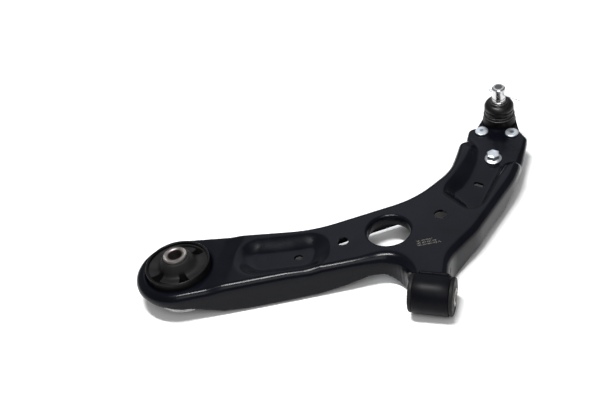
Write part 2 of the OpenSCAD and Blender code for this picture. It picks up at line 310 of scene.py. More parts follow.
# %% [markdown]
# ## Radius of the bend
#
# The sheet bends down all round. A press can't fold a corner as sharply as a straight run without
# tearing it, so the bend is softest at the elbow, and it is tightest on the flat pad. The flat
# part of the blank ends where the bend starts, which is the outline set in by that radius.

# %% Bend
soft_bend, pad_bend, elbow_more = 9, 4.5, 5
pad_bend_from, pad_bend_to = 215, 262
elbow_at, elbow_reach = (-48, 36), 26


def ramp(x, x0, x1, z0=0.0, z1=1.0):
    """z0 before x0, z1 after x1, and an S between them."""
    t = np.clip((x - x0) / (x1 - x0), 0, 1)
    return z0 + (z1 - z0) * t * t * (3 - 2 * t)


def bend_r(x, y):
    """Radius of the bend at the edge of the sheet."""
    elbow = np.exp(-((x - elbow_at[0]) ** 2 + (y - elbow_at[1]) ** 2) / elbow_reach ** 2)
    return ramp(y, pad_bend_from, pad_bend_to, soft_bend, pad_bend) + elbow_more * elbow


edge_r = bend_r(edge[:, 0], edge[:, 1])
inset = edge - edge_out * edge_r[:, None]
print("bend: radius", round(float(edge_r.min()), 1), "to", round(float(edge_r.max()), 1), "mm")

# %% [markdown]
# ## Depth of the drawn shape
#
# The press draws the flat blank into two pockets: a long one towards the rear bush, and a deep
# tray that runs out into the ball joint's pad. Each has a top outline and a floor outline. A
# point between the two is placed by its distance from each, through an S-shaped ramp, which gives
# the soft bends that drawn steel has. The pad is a flat that leans a few degrees, and the land
# round the rear bush is a little lower than the rest.

# %% Height of the sheet's upper face
pocket_turn = Matrix.Rotation(radians(14), 2)
pocket_at = Vector((-173, 33))
pocket_depth = 6.5


def turned_corners(corners):
    """The pocket's corners, given along its own length, in the arm's place."""
    return [(*(pocket_turn @ Vector(c[:2]) + pocket_at), c[2]) for c in corners]


pocket_top = turned_corners([(-53, -31, 24), (53, -30, 24), (52, 29, 24), (-51, 28, 24)])
pocket_floor = turned_corners([(-35, -20, 15), (33, -20, 15), (38, 14, 7), (22, 8, 10),
                               (-26, 8, 10), (-41, 14, 7)])
tray_top = [(-13, 150, 8), (24, 118.5, 12), (36, 131, 14), (49.5, 188, 40), (57, 209, 10),
            (85, 217, 12), (110, 219, 5), (110, 350, 5), (-60, 350, 5), (-60, 250, 5),
            (-2, 247, 5), (4.5, 238, 6), (-4.5, 198, 60)]
tray_floor = [(-4, 162, 5), (26, 134, 9), (33, 142, 8), (42, 188, 40), (49.5, 215, 10),
              (72, 226, 12), (100, 230, 5), (100, 340, 5), (-50, 340, 5), (-50, 266, 5),
              (5, 259, 8), (18, 246, 14), (22, 218, 30), (16, 188, 40), (8, 172, 15)]


def distance(x, y, loop):
    """How far each point is from a closed outline, and whether it is inside."""
    a, b = loop, np.roll(loop, -1, 0)
    d = b - a
    best = np.full(x.shape, 1e9)
    inside = np.zeros(x.shape, bool)
    for (ax, ay), (dx, dy) in zip(a, d):
        t = np.clip(((x - ax) * dx + (y - ay) * dy) / (dx * dx + dy * dy), 0, 1)
        best = np.minimum(best, np.hypot(x - ax - t * dx, y - ay - t * dy))
        if dy:
            crosses = (ay > y) != (ay + dy > y)
            inside ^= crosses & (x < ax + (y - ay) / dy * dx)
    return best, inside


def share(x, y, top, floor, curve=1.0):
    """0 outside the top outline, 1 inside the floor one; curve 0 is a straight ramp, 1 an S."""
    to_top, in_top = distance(x, y, top)
    to_floor, in_floor = distance(x, y, floor)
    t = np.where(in_top, to_top / (to_top + to_floor + 1e-9), 0)
    t = np.where(in_floor, 1, t)
    return t + curve * (t * t * (3 - 2 * t) - t)


drawn_step = 2.0
pocket_loops = [rounded(c, drawn_step) for c in (pocket_top, pocket_floor)]
tray_loops = [rounded(c, drawn_step) for c in (tray_top, tray_floor)]
pocket_curve = 0.3
rear_drop, rear_drop_from, rear_drop_to = 2, 225, 247
pad_normal = pad_up / pad_up.z
pad_point = pad_origin / MM


def pad_plane(x, y):
    """Height of the leaning pad."""
    return pad_point.z - pad_normal.x * (x - pad_point.x) - pad_normal.y * (y - pad_point.y)


def height(x, y):
    """Height in mm of the sheet's upper face."""
    land = plate_z - ramp(-x, rear_drop_from, rear_drop_to, 0, rear_drop)
    z = land - pocket_depth * share(x, y, *pocket_loops, pocket_curve)
    tray = share(x, y, *tray_loops)
    return z * (1 - tray) + pad_plane(x, y) * tray


print("pad: height", round(pad_point.z, 1), "mm at the stud, leaning",
      round(degrees(pad_up.angle(Vector((0, 0, 1)))), 1), "degrees")

# %% [markdown]
# ## Cutters
#
# A die cuts holes and outlines in one stroke. Here a cutter is a solid prism of any outline, and
# a Boolean modifier subtracts it. It is deep enough to go through whatever it meets, and it is
# thrown away after use. Cutters for one piece are joined first, so that it is cut only once.

# %% Cutters
deep = 30


def cutter_from(points, low=-deep, high=deep, name="cutter"):
    """A solid prism: a circle whose points are moved onto the outline, filled and extruded."""
    clear_selection()
    bpy.ops.mesh.primitive_circle_add(vertices=len(points), radius=1, fill_type="NGON")
    obj = bpy.context.object
    obj.name = name
    for v, (x, y) in zip(obj.data.vertices, points):
        v.co = Vector((x, y, low)) * MM
    edit(obj)
    bpy.ops.mesh.select_all(action="SELECT")
    bpy.ops.mesh.extrude_region_move(TRANSFORM_OT_translate={"value": (0, 0, (high - low) * MM)})
    bpy.ops.mesh.select_all(action="SELECT")
    bpy.ops.mesh.normals_make_consistent(inside=False)
    if bmesh.from_edit_mesh(obj.data).calc_volume(signed=True) < 0:
        bpy.ops.mesh.flip_normals()
    bpy.ops.object.mode_set(mode="OBJECT")
    return obj


def round_cutter(x, y, r, sides, low=-deep, high=deep):
    angles = [2 * pi * k / sides for k in range(sides)]
    return cutter_from([(x + r * cos(a), y + r * sin(a)) for a in angles], low, high)


def joined(parts):
    """Joins pieces into the first of them."""
    clear_selection()
    for part in parts:
        part.select_set(True)
    bpy.context.view_layer.objects.active = parts[0]
    if len(parts) > 1:
        bpy.ops.object.join()
    return parts[0]


def remove(obj):
    mesh = obj.data
    bpy.data.objects.remove(obj)
    bpy.data.meshes.remove(mesh)


def boolean(obj, cutter, operation="DIFFERENCE"):
    add_modifier(obj, "BOOLEAN", operation=operation, solver="EXACT", object=cutter)
    remove(cutter)


# %% [markdown]
# ## Cutting the blank
#
# A fine grid bends well, so the sheet starts as one. Its margins differ a little, which keeps its
# lines off the straight runs of the outline, where a Boolean would have ties to settle. It gets a
# depth, because only solids cut cleanly. A cutter with the arm's outline, set in by the bend's
# radius, trims it, and round cutters make the holes, each wider than its hole by the radius of
# its rolled lip. All is still flat, which keeps the cuts exact. Only the upper face is kept.

# %% Cut the blank
# lips: (x, y, hole radius, lip radius, depth of the collar); plain holes: (x, y, radius)
lips = [(-bush_gap, 0, 37.1, 4.2, 21), (-61.5, 79.5, 24.5, 3.6, 13)]
plain_holes = [(-8, 111, 7.5), (-109, 57, 6.5), (-155.4, 32.3, 5)]
slot_at, slot_r, slot_half, slot_angle = (25.2, 179), 3.1, 3.2, radians(-18)
slot_end_steps = 10

cell = 2.0
block_depth = 10
weld_gap = 0.12
low_x, high_x = inset[:, 0].min() - 7.3, inset[:, 0].max() + 7.7
low_y, high_y = inset[:, 1].min() - 7.1, inset[:, 1].max() + 7.9
clear_selection()
bpy.ops.mesh.primitive_grid_add(
    x_subdivisions=ceil((high_x - low_x) / cell), y_subdivisions=ceil((high_y - low_y) / cell),
    size=1, location=((low_x + high_x) / 2 * MM, (low_y + high_y) / 2 * MM, 0))
pressing = bpy.context.object
pressing.name = "pressing"
pressing.scale = ((high_x - low_x) * MM, (high_y - low_y) * MM, 1)
bpy.ops.object.transform_apply(location=True, rotation=True, scale=True)
edit(pressing)
bpy.ops.mesh.select_mode(type="EDGE")
bpy.ops.mesh.select_all(action="DESELECT")
bpy.ops.mesh.select_non_manifold()
bpy.ops.mesh.extrude_edges_move(TRANSFORM_OT_translate={"value": (0, 0, -block_depth * MM)})
bpy.ops.mesh.edge_face_add()
bpy.ops.mesh.select_all(action="SELECT")
bpy.ops.mesh.normals_make_consistent(inside=False)
bpy.ops.object.mode_set(mode="OBJECT")
boolean(pressing, cutter_from(inset), "INTERSECT")
drills = [round_cutter(x, y, r + lip, 96) for x, y, r, lip, _ in lips]
drills += [round_cutter(x, y, r, 40) for x, y, r in plain_holes]
slot_turn = Vector((cos(slot_angle), sin(slot_angle)))
slot_side = Vector((-slot_turn.y, slot_turn.x))
slot_loop = []
for end in (1, -1):
    for k in range(slot_end_steps + 1):
        a = radians(-90 + 180 / slot_end_steps * k)
        from_middle = slot_turn * (slot_half + slot_r * cos(a)) + slot_side * slot_r * sin(a)
        slot_loop.append(tuple(Vector(slot_at) + end * from_middle))
drills.append(cutter_from(slot_loop))
boolean(pressing, joined(drills))
edit(pressing)
bpy.ops.mesh.select_mode(type="FACE")
bm = bmesh.from_edit_mesh(pressing.data)
for face in bm.faces:
    face.select = face.normal.z < 0.9
bmesh.update_edit_mesh(pressing.data)
bpy.ops.mesh.delete(type="FACE")
bpy.ops.mesh.select_all(action="SELECT")
bpy.ops.mesh.remove_doubles(threshold=weld_gap * MM)
bpy.ops.object.mode_set(mode="OBJECT")
print("blank:", len(pressing.data.vertices), "points,", len(pressing.data.polygons), "faces")

# %% [markdown]
# ## Depth of the flange
#
# The flange makes the arm stiff, so it is deep where the arm bends most: along the two long
# sides. It fades out round the rear bush and on the pad. Three tables give the height of its
# lower edge, for the front side, the rear side and the outer side, and the normal of the outline
# says which side a point is on.

# %% Lower edge of the flange
# front and rear: (x, height); outer: (y, height)
front_low = [(-339, 12), (-313, 5), (-285, 1), (-262, -4), (-229, -16), (-205, -18.8),
             (-163, -19.2), (-127, -18), (-100, -13.5), (-75, -6.5), (-58, -7.5), (-46, -13),
             (-36, -18)]
rear_low = [(-339, 12), (-313, 5), (-285, 1), (-250, -7), (-215, -16), (-150, -18), (-60, -16),
            (-20, -15)]
outer_low = [(30, -19), (56, -18.5), (77, -14), (117, -9.5), (153, -11), (180, -3.5), (193, 3),
             (210, 2)]
neck_low, pad_flange = -18, 9
neck_x, neck_y, outer_x, rear_y = -36, 25, -15, 70
pad_from, pad_to = 200, 235


def lower_edge(x, y, nx, ny):
    """Height of the flange's lower edge, which follows the arm's depth."""
    front = np.interp(x, *zip(*front_low))
    rear = np.interp(x, *zip(*rear_low))
    outer = np.interp(y, *zip(*outer_low))
    on_neck = (y < neck_y) & (x > neck_x)
    on_outer = (nx > 0.2) & (x > outer_x) & (y > 0)
    on_rear_side = (ny > 0.3) | ((nx < 0) & (y > rear_y))
    side = np.where(on_outer, outer, np.where(on_neck, neck_low, front))
    side = np.where(on_rear_side, rear, side)
    pad = pad_plane(x, y) - pad_flange
    return np.where(y > pad_from, side + (pad - side) * ramp(y, pad_from, pad_to), side)


# %% [markdown]
# ## Drawing the sheet
#
# Now the flat blank gets its depth. Each point takes the height of the drawn shape, and a light
# smoothing of the heights rounds the creases. The next steps extrude the free edges ring by ring,
# and a new ring needs to know where on the edge it began. So each point first remembers that in
# attributes, which an extrusion copies along.

# %% Draw the sheet
mesh = pressing.data
flat = np.zeros(len(mesh.vertices) * 3)
mesh.vertices.foreach_get("co", flat)
flat = flat.reshape(-1, 3) / MM
flat[:, 2] = height(flat[:, 0], flat[:, 1])
mesh.vertices.foreach_set("co", (flat * MM).ravel())
nearest = np.array([np.argmin(np.hypot(inset[:, 0] - x, inset[:, 1] - y))
                    for x, y in flat[:, :2]])
flange_low = lower_edge(edge[:, 0], edge[:, 1], edge_out[:, 0], edge_out[:, 1])
starts = {"start_x": flat[:, 0], "start_y": flat[:, 1], "start_z": flat[:, 2],
          "out_x": edge_out[nearest, 0], "out_y": edge_out[nearest, 1],
          "bend": edge_r[nearest], "low": flange_low[nearest]}
for key, values in starts.items():
    mesh.attributes.new(key, "FLOAT", "POINT").data.foreach_set("value", values.astype(np.float32))

edit(pressing)
bpy.ops.mesh.select_all(action="SELECT")
bpy.ops.mesh.vertices_smooth(factor=0.5, repeat=3, xaxis=False, yaxis=False, zaxis=True)
print("drawn:", round(float(np.ptp(flat[:, 2])), 1), "mm from the lowest point to the highest")

# %% [markdown]
# ## Collars in the holes
#
# The bush is pressed into a collar that is drawn down out of the plate, and the large hole has a
# short one that keeps its edge from tearing. The hole's free edge is extruded over a quarter
# circle, the rolled lip, and then straight down.

# %% Roll the collars
def select_rim(rule):
    """Selects the free edges whose two ends fit the rule."""
    bpy.ops.mesh.select_mode(type="EDGE")
    bpy.ops.mesh.select_all(action="DESELECT")
    bm = bmesh.from_edit_mesh(pressing.data)
    for e in bm.edges:
        if len(e.link_faces) == 1 and all(rule(v.co / MM) for v in e.verts):
            e.select = True
    bmesh.update_edit_mesh(pressing.data)


def layers():
    """The remembered places, by name."""
    bm = bmesh.from_edit_mesh(pressing.data)
    return {key: bm.verts.layers.float[key] for key in starts}


bend_steps, collar_steps = 8, 2
rim_slack = 0.4
for x0, y0, hole_r, lip_r, depth in lips:
    select_rim(lambda p: abs(hypot(p.x - x0, p.y - y0) - hole_r - lip_r) < rim_slack)
    for k in range(1, bend_steps + collar_steps + 1):
        a = min(k / bend_steps, 1) * pi / 2
        down = max(0, k - bend_steps) / collar_steps * (depth - lip_r)

        def roll(v, a=a, down=down):
            at = layers()
            spoke = Vector((v[at["start_x"]] - x0, v[at["start_y"]] - y0)).normalized()
            r = hole_r + lip_r * (1 - sin(a))
            z = v[at["start_z"]] - lip_r * (1 - cos(a)) - down
            return Vector((x0 + spoke.x * r, y0 + spoke.y * r, z)) * MM
        extend(roll)
print("collars:", [f"{depth} mm deep, {2 * r} mm wide" for _, _, r, _, depth in lips])

# %% [markdown]
# ## Flange
#
# What is left of the free edges is the outline. It is extruded over the bend in small steps and
# then down to the flange's lower edge. Solidify gives the sheet its thickness, inwards, so that
# the upper face stays where it was drawn.

# %% Fold the flange
flange_steps, least_flange = 5, 1
hole_slack, slot_reach = 0.3, 7


def near_hole(p):
    spots = [(x, y, r + lip) for x, y, r, lip, _ in lips] + plain_holes + [(*slot_at, slot_reach)]
    return any(hypot(p.x - x, p.y - y) < r + hole_slack for x, y, r in spots)


select_rim(lambda p: not near_hole(p))
for k in range(1, bend_steps + flange_steps + 1):
    a = min(k / bend_steps, 1) * pi / 2
    fall = max(0, k - bend_steps) / flange_steps

    def fold(v, a=a, fall=fall):
        at = layers()
        r = v[at["bend"]]
        x = v[at["start_x"]] + v[at["out_x"]] * r * sin(a)
        y = v[at["start_y"]] + v[at["out_y"]] * r * sin(a)
        top = v[at["start_z"]] - r
        low = min(v[at["low"]], top - least_flange)
        z = top + (low - top) * fall if fall else v[at["start_z"]] - r * (1 - cos(a))
        return Vector((x, y, z)) * MM
    extend(fold)
bpy.ops.object.mode_set(mode="OBJECT")
for key in starts:
    pressing.data.attributes.remove(pressing.data.attributes[key])
add_modifier(pressing, "SOLIDIFY", thickness=SHEET * MM, offset=-1)
print("sheet:", len(pressing.data.polygons), "faces,", SHEET, "mm thick")

# %% [markdown]
# ## Seats
#
# The finished sheet still runs through the tube and under the ball joint. One cutter that follows
# the tube's back, and a round one on the stud's axis, clear both seats.

# %% Clear the seats
tube_r, housing_gap_r = 21.9, 20.8
saddle_front, saddle_half_w, saddle_half_l, pad_cut_half = 60, 32, 45, 20
half_turn = [radians(-90 + 5 * k) for k in range(37)]
saddle = [(tube_r * cos(a), tube_r * sin(a)) for a in half_turn]
saddle += [(-saddle_front, saddle_half_w), (-saddle_front, -saddle_half_w)]
tube_cutter = place(cutter_from(saddle, -saddle_half_l, saddle_half_l), on_tube)
pad_cutter = place(round_cutter(0, 0, housing_gap_r, 96, -pad_cut_half, pad_cut_half), on_pad)
boolean(pressing, joined([tube_cutter, pad_cutter]))
clear_selection()
pressing.select_set(True)
bpy.context.view_layer.objects.active = pressing
bpy.ops.object.shade_smooth_by_angle(angle=radians(40))
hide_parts("arm_pressing")
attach(pressing, "arm")
print("pressing:", len(pressing.data.polygons), "faces, box",
      [round(d / MM, 1) for d in pressing.dimensions], "mm")

# %% [markdown]
# ## Studio
#
# Glossy black steel shows its shape only by what it mirrors. A soft box straight above draws the
# long bright lines along the bends, a broad panel at the back left lifts the flat of the plate to
# slate, and the back right stays dark, which is what makes the walls of the tray black. The floor
# lies a hair below the lowest point. The Standard view keeps a white floor white and blacks deep.

# %% Floor and lights
floor_gap, floor_size = 0.3, 12
floor_z = cad_low.z - floor_gap * MM
clear_selection()
bpy.ops.mesh.primitive_plane_add(size=floor_size, location=(0, 0, floor_z))
floor = bpy.context.object
floor.name = "floor"


def panel(name, at, aim, width, depth, power, tint=(1, 1, 1)):
    """A soft box: its place, what it looks at and its size in metres, and its power in watts."""
    light = bpy.data.lights.new(name, "AREA")
    light.color = tint
    light.shape = "RECTANGLE"
    light.size = width
    light.size_y = depth
    light.energy = power
    obj = bpy.data.objects.new(name, light)
    bpy.context.scene.collection.objects.link(obj)
    obj.location = at
    obj.rotation_euler = (Vector(aim) - Vector(at)).to_track_quat("-Z", "Y").to_euler()
    return obj


middle = (-0.13, 0.12, 0)
panel("top_box", (-0.22, -0.14, 1.6), middle, 0.7, 0.2, 38)
panel("back_left", (-0.3, 1.5, 1.38), middle, 1.4, 1.0, 4.2, (0.84, 0.91, 1.0))
panel("front_fill", (0.5, -1.5, 2.1), middle, 1.6, 1.2, 20)
bpy.context.scene.view_settings.view_transform = "Standard"
world = bpy.data.worlds.new("studio")
bpy.context.scene.world = world
world.use_nodes = True
world.node_tree.nodes["Background"].inputs["Color"].default_value = (1, 1, 1, 1)
world.node_tree.nodes["Background"].inputs["Strength"].default_value = 0.3

# %% [markdown]
# ## Materials
#
# Every finish is procedural and reads Object coordinates, so its grain has a real size in metres.
# Each material is a Principled shader whose colour and roughness vary a little through noise,
# with a fine bump: the orange peel of the coat, the grain of moulded rubber, the tool marks of
# turned steel.

# %% Material helpers
def new_material(name, **sockets):
    """A Principled material; what is the same all over is set on the shader's own sockets."""
    material = bpy.data.materials.new(name)
    material.use_nodes = True
    shader = material.node_tree.nodes["Principled BSDF"]
    for key, value in sockets.items():
        shader.inputs[key.replace("_", " ")].default_value = value
    return material, material.node_tree, shader


def node(tree, kind, **settings):
    """A new node with some of its sockets set."""
    made = tree.nodes.new(kind)
    for key, value in settings.items():
        made.inputs[key].default_value = value
    return made


def noise(tree, scale, detail=3.0, stretch=(1, 1, 1)):
    """A noise in Object coordinates: scale is its waves per metre."""
    place_node = tree.nodes.new("ShaderNodeTexCoord")
    mapping = tree.nodes.new("ShaderNodeMapping")
    mapping.inputs["Scale"].default_value = stretch
    made = node(tree, "ShaderNodeTexNoise", Scale=scale, Detail=detail)
    tree.links.new(place_node.outputs["Object"], mapping.inputs["Vector"])
    tree.links.new(mapping.outputs["Vector"], made.inputs["Vector"])
    return made.outputs["Fac"]


def spread(tree, value, low, high, start=0.3, stop=0.7):
    """Turns a noise that runs from start to stop into numbers from low to high."""
    made = node(tree, "ShaderNodeMapRange")
    for key, number in zip(("From Min", "From Max", "To Min", "To Max"), (start, stop, low, high)):
        made.inputs[key].default_value = number
    tree.links.new(value, made.inputs["Value"])
    return made.outputs["Result"]


def colours(tree, value, first, second, start=0.35, stop=0.65):
    """Turns a noise into colours between the first and the second."""
    made = tree.nodes.new("ShaderNodeValToRGB")
    made.color_ramp.elements[0].position = start
    made.color_ramp.elements[1].position = stop
    made.color_ramp.elements[0].color = (*first, 1)
    made.color_ramp.elements[1].color = (*second, 1)
    tree.links.new(value, made.inputs["Fac"])
    return made.outputs["Color"]


def bump(tree, shader, value, distance_mm):
    made = node(tree, "ShaderNodeBump", Strength=1.0, Distance=distance_mm * MM)
    tree.links.new(value, made.inputs["Height"])
    tree.links.new(made.outputs["Normal"], shader.inputs["Normal"])


def finish(name, first, second, rough, grain, grain_mm, mottle=60, **sockets):
    """A finish: two close colours, a range of roughness, and a fine bump."""
    material, tree, shader = new_material(name, **sockets)
    tree.links.new(colours(tree, noise(tree, mottle), first, second), shader.inputs["Base Color"])
    tree.links.new(spread(tree, noise(tree, mottle * 2.3, 4), *rough), shader.inputs["Roughness"])
    bump(tree, shader, noise(tree, grain, 4), grain_mm)
    return material


# %% [markdown]
# ## The finishes
#
# Each line is one finish: two close colours, the range of its roughness, how fine its grain is in
# waves per metre, and how deep in mm. The coat on the pressing is thin and glossy, nearly black
# with a hint of blue. The tube is coated too, but its rougher skin mirrors less. Rubber is darker
# and duller still, and only bare and plated metal is metallic.

# %% The finishes
e_coat = finish("e_coat", (0.0014, 0.0016, 0.0032), (0.0024, 0.0028, 0.0050), (0.15, 0.22),
                700, 0.015, mottle=25, Specular_IOR_Level=0.11)
tube_coat = finish("tube_coat", (0.0010, 0.0012, 0.0022), (0.0018, 0.0020, 0.0034), (0.38, 0.46),
                   900, 0.03, mottle=25, Specular_IOR_Level=0.07)
forging = finish("forging_coat", (0.0015, 0.0015, 0.0018), (0.003, 0.003, 0.0033), (0.35, 0.5),
                 900, 0.15, Specular_IOR_Level=0.1)
sleeve_coat = finish("sleeve_coat", (0.003, 0.003, 0.0035), (0.005, 0.005, 0.0055), (0.3, 0.42),
                     1200, 0.03, Specular_IOR_Level=0.12)
rubber = finish("bush_rubber", (0.004, 0.004, 0.0045), (0.010, 0.010, 0.0105), (0.45, 0.6),
                1600, 0.06, Specular_IOR_Level=0.12)
boot_rubber = finish("boot_rubber", (0.002, 0.002, 0.0024), (0.004, 0.004, 0.0044), (0.28, 0.38),
                     1600, 0.03, Specular_IOR_Level=0.2)
steel = finish("turned_steel", (0.48, 0.48, 0.48), (0.58, 0.58, 0.58), (0.18, 0.26),
               1500, 0.02, Metallic=1.0)
sleeve_steel = finish("sleeve_steel", (0.16, 0.145, 0.14), (0.26, 0.24, 0.23), (0.35, 0.5),
                      1500, 0.03, Metallic=1.0)
ring_wire = finish("ring_wire", (0.05, 0.05, 0.05), (0.09, 0.09, 0.09), (0.3, 0.4),
                   1500, 0.01, Metallic=1.0)
zinc = finish("zinc_plate", (0.60, 0.63, 0.67), (0.72, 0.75, 0.79), (0.34, 0.44),
              900, 0.02, Metallic=1.0)
acetal = finish("seat_plastic", (0.62, 0.60, 0.52), (0.68, 0.66, 0.58), (0.4, 0.5), 900, 0.01)
peen = finish("peened_dots", (0.16, 0.15, 0.13), (0.26, 0.24, 0.20), (0.5, 0.6), 900, 0.01)
backdrop = new_material("floor", Base_Color=(0.9, 0.9, 0.9, 1), Roughness=0.9)[0]


def dress(obj, material):
    obj.data.materials.clear()
    obj.data.materials.append(material)


dress(floor, backdrop)
dress(pressing, e_coat)
cad_finishes = {
    tube_coat: ["front_bush_tube", "tube_weld_beads"],
    sleeve_coat: ["rear_bush_outer_sleeve", "front_bush_outer_sleeve"],
    rubber: ["front_bush_rubber", "rear_bush_rubber"],
    boot_rubber: ["dust_boot"],
    forging: ["ball_joint_housing", "housing_cap"],
    steel: ["ball_stud"],
    sleeve_steel: ["front_bush_inner_sleeve", "rear_bush_inner_sleeve"],
    ring_wire: ["boot_lower_ring", "boot_upper_ring"],
    zinc: ["split_pin", "ball_joint_rivets", "flange_bolt", "flange_nut"],
    acetal: ["ball_seat"]}
for material, names in cad_finishes.items():
    for name in names:
        dress(nodes[name], material)
print("finishes:", len(bpy.data.materials), "materials")

# %% [markdown]
# ## Front bush
#
# A thick tube is welded across the neck of the arm. The bush is pressed into it: an outer sleeve,
# a rubber whose collar covers each end of the tube, and an inner sleeve for the bolt. They are
# turned pieces, made upright and laid along the tube's axis. A small nib on one collar is what
# the mould's gate leaves.

# %% Front bush
def made(obj, body, material, slot_name, *replaced):
    """Dresses a finished piece and hangs it on its body."""
    dress(obj, material)
    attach(obj, body)
    if replaced:
        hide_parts(*replaced)
    print(f"{obj.name}: {len(obj.data.polygons)} faces")
    return obj


tube_wall, tube_half = 3, 19.2
chamfer = 0.6
tube_in = tube_r - tube_wall
tube = turned("front_tube", [
    (tube_in, -tube_half), (tube_r - chamfer, -tube_half), (tube_r - 0.2, -tube_half + 0.25),
    (tube_r, -tube_half + chamfer), (tube_r, -6), (tube_r, 6), (tube_r, tube_half - chamfer),
    (tube_r - 0.2, tube_half - 0.25), (tube_r - chamfer, tube_half), (tube_in, tube_half)],
    on_tube, 128)
made(tube, "arm", tube_coat, "e_coat", "front_bush_tube")


def mirrored(profile):
    """The profile and its image below zero height, run back to the start."""
    return profile + [(r, -z) for r, z in reversed(profile)]


collar_low, collar_high = tube_half + 0.1, tube_half + 4.7
collar_r = 20.9
front_rubber = turned("front_rubber", mirrored(
    [(10.1, 5), (10.1, collar_high - 1.2)] + arc(11.1, collar_high - 1.2, 1, 180, 90, 3)
    + [(13, collar_high - 0.2), (15, collar_high - 0.9), (17.5, collar_high - 0.4)]
    + arc(collar_r - 1.6, collar_high - 1.6, 1.6, 90, 0, 5)
    + [(collar_r, collar_low + 0.8), (collar_r - 0.6, collar_low), (tube_in - 1.6, collar_low),
       (tube_in - 1.6, 5)]), on_tube, 96)
clear_selection()
bpy.ops.mesh.primitive_cone_add(vertices=12, radius1=0.9 * MM, radius2=0.45 * MM, depth=1.6 * MM)
nib = bpy.context.object
nib_turn, nib_drop = radians(25), 2.3
nib_spot = Vector((cos(nib_turn) * collar_r, sin(nib_turn) * collar_r,
                   collar_high - nib_drop)) * MM
place(nib, on_tube @ Matrix.Translation(nib_spot) @ Matrix.Rotation(nib_turn, 4, "Z")
      @ Matrix.Rotation(pi / 2, 4, "Y"))
made(joined([front_rubber, nib]), "arm", rubber, "bush_rubber", "front_bush_rubber")

sleeve_half = 25
core = turned("front_core_sleeve", mirrored(
    [(6.15, 10), (6.15, sleeve_half - 0.7), (6.85, sleeve_half), (9.4, sleeve_half),
     (10, sleeve_half - 0.6), (10, 10)]), on_tube, 96)
made(core, "front_core", sleeve_steel, "machined_steel", "front_bush_inner_sleeve")

# %% [markdown]
# ## Weld beads
#
# A welding robot leaves a bead with even ripples. Turned about its own length, a rod whose radius
# swells and shrinks is just that; two of them lie in the corners where the plate meets the tube.

# %% Weld beads
bead_half, bead_tip, bead_out = 15.5, 0.8, 0.3
ripple, ripple_low, ripple_rise = 1.9, 0.86, 0.16
taper, bead_points = 0.25, 66
beads = []
# plate_side: height above the tube's axis of the plate's upper or lower face
for plate_side, bead_r in ((17.2, 2.5), (13.6, 2.0)):
    profile = [(0, -bead_half - bead_tip)]
    for k in range(bead_points + 1):
        z = -bead_half + 2 * bead_half * k / bead_points
        wave = ripple_low + ripple_rise * abs(sin(pi * z / ripple))
        profile.append((bead_r * wave * (1 - taper * (abs(z) / bead_half) ** 8), z))
    profile.append((0, bead_half + bead_tip))
    corner_y = (tube_r ** 2 - plate_side ** 2) ** 0.5
    in_corner = Matrix.Translation(Vector((corner_y + bead_out, plate_side, 0)) * MM)
    beads.append(turned(f"weld_bead_{len(beads)}", profile, on_tube @ in_corner, 20, 60))
made(joined(beads), "arm", tube_coat, "e_coat", "tube_weld_beads")
beads[0].name = "weld_beads"

# %% [markdown]
# ## Sleeves of the rear bush
#
# The rear bush stands upright in its collar. Its outer sleeve has a rounded rim. The inner sleeve
# is a thick steel tube whose end has teeth, so that it can't turn once it is bolted down. The
# teeth are cut by lowering the points of its end face in a zigzag.

# %% Rear sleeves
rim_z, rear_low_z, rim_round = 23, -10, 0.9
rear_r, rear_wall = 37, 2.5
rear_in = rear_r - rear_wall
ring = turned("rear_sleeve", [
    (rear_in, rear_low_z), (rear_r - 0.8, rear_low_z), (rear_r, rear_low_z + 0.8), (rear_r, 5),
    (rear_r, rim_z - rim_round)] + arc(rear_r - rim_round, rim_z - rim_round, rim_round, 0, 90, 4)
    + [(rear_r - 1.5, rim_z), (rear_in, rim_z - 0.8), (rear_in, 5)], on_rear, 144)
made(ring, "arm", sleeve_coat, "rear_sleeve_coat", "rear_bush_outer_sleeve")

core_r, bore_r = 13.5, 8.15
core_low, core_high = -22.5, 35.5
teeth, tooth_depth = 60, 0.55
serrated = turned("rear_core_sleeve", [
    (bore_r, core_low + 1), (bore_r + 0.8, core_low), (core_r - 1.4, core_low),
    (core_r, core_low + 1), (core_r, core_high - 1.5), (core_r - 0.7, core_high - 0.5),
    (core_r - 1.3, core_high - 0.25), (core_r - 1.4, core_high - 0.1), (bore_r + 1.6, core_high),
    (bore_r + 1, core_high - 0.2), (bore_r, core_high - 1.1)], Matrix.Identity(4), teeth * 4, 28)
edit(serrated)
bm = bmesh.from_edit_mesh(serrated.data)
for v in bm.verts:
    x, y, z = v.co / MM
    if z > core_high - 0.3 and hypot(x, y) > core_r - 2.6:
        tooth = (degrees(atan2(y, x)) * teeth / 360) % 1
        v.co.z -= tooth_depth * MM * abs(2 * tooth - 1)
bmesh.update_edit_mesh(serrated.data)
bpy.ops.object.mode_set(mode="OBJECT")
place(serrated, on_rear)
made(serrated, "rear_core", sleeve_steel, "machined_steel", "rear_bush_inner_sleeve")

# %% [markdown]
# ## Rubber of the rear bush
#
# The rubber is the interesting piece: two solid legs run forward and back, and between them lie
# two voids, each with a block that stops the arm's travel. Seen from above it is one closed line
# round the axis, so it is grown outward from the inner sleeve, ring by ring, to a radius that
# depends on the angle. It is made in two halves, and the cone of each bends with the inner sleeve
# when the bush cocks. A thin liner stays in the outer sleeve.

# %% Rear rubber
stop_half_w, stop_r, void_r = 13, 31, 20.5
leg_r = rear_in - 0.1
leg_from, leg_to = 47.5, 43.5
stop_from, stop_to, stop_side = 26.5, 22.5, 25
rubber_sides = 360


